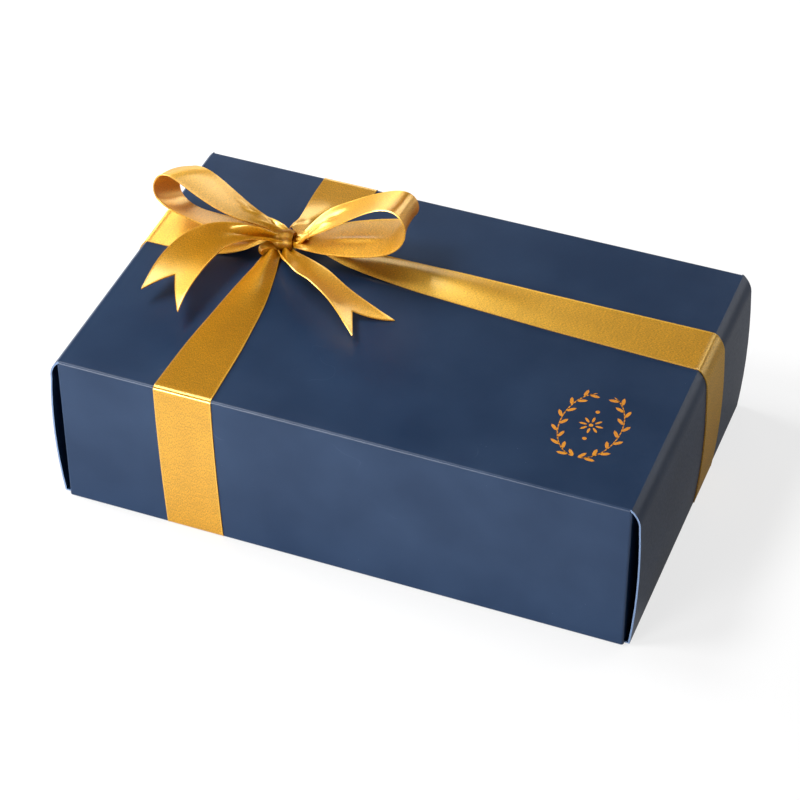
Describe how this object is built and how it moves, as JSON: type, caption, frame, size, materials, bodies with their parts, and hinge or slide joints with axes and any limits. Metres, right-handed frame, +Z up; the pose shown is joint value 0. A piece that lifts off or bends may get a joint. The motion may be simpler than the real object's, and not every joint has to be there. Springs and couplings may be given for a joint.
{
  "type": "chocolate box",
  "caption": "Rectangular gift box of folded paperboard with a full-depth lift-off lid, tied with a satin ribbon and bow, over layers of chocolates in paper cups.",
  "frame": {"origin": "on the surface that the box rests on, under the middle of the tray's floor", "axes": "+X along the box's length, to the right as seen from the front; -Y is the front; +Z up, the way the lid lifts"},
  "size_m": [0.2589, 0.1596, 0.1183],
  "materials": {
    "navy_board": "matt laminated dark blue paperboard",
    "gold_satin": "glossy satin ribbon",
    "embossed_paper": "embossed glassine over wadding",
    "gold_card": "satin gold card",
    "cup_paper": "fluted brown glassine",
    "dark_chocolate": "satin tempered chocolate",
    "milk_chocolate": "satin tempered chocolate",
    "white_chocolate": "satin tempered chocolate",
    "cocoa_dusted": "powdery cocoa"
  },
  "bodies": {
    "tray": {"tray_board": "navy_board"},
    "lower_layer": {"lower_layer_board": "gold_card", "lower_long_strips": "gold_card", "lower_cross_strips": "gold_card", "lower_cups": "cup_paper", "lower_square_chocolates": "dark_chocolate", "lower_truffle_chocolates": "cocoa_dusted", "lower_heart_chocolates": "milk_chocolate", "lower_bar_chocolates": "dark_chocolate", "lower_domed_chocolates": "white_chocolate", "lower_pyramid_chocolates": "milk_chocolate"},
    "upper_layer": {"upper_layer_board": "gold_card", "upper_long_strips": "gold_card", "upper_cross_strips": "gold_card", "upper_cups": "cup_paper", "upper_square_chocolates": "dark_chocolate", "upper_truffle_chocolates": "cocoa_dusted", "upper_heart_chocolates": "milk_chocolate", "upper_bar_chocolates": "dark_chocolate", "upper_domed_chocolates": "white_chocolate", "upper_pyramid_chocolates": "milk_chocolate"},
    "pad": {"cushion_pad": "embossed_paper"},
    "lid": {"lid_board": "navy_board", "ribbon_front_band": "gold_satin", "ribbon_back_band": "gold_satin", "ribbon_left_band": "gold_satin", "ribbon_right_band": "gold_satin", "bow_left_loop": "gold_satin", "bow_right_loop": "gold_satin", "bow_left_tail": "gold_satin", "bow_right_tail": "gold_satin", "bow_knot": "gold_satin"}
  },
  "joints": [
    {"name": "lower_layer_lift", "type": "slide", "parent": "tray", "child": "lower_layer", "axis": [0, 0, 1], "range_m": [0, 0.08]},
    {"name": "upper_layer_lift", "type": "slide", "parent": "lower_layer", "child": "upper_layer", "axis": [0, 0, 1], "range_m": [0, 0.05]},
    {"name": "pad_lift", "type": "slide", "parent": "upper_layer", "child": "pad", "axis": [0, 0, 1], "range_m": [0, 0.03]},
    {"name": "lid_lift", "type": "slide", "parent": "pad", "child": "lid", "axis": [0, 0, 1], "range_m": [0, 0.09]}
  ]
}
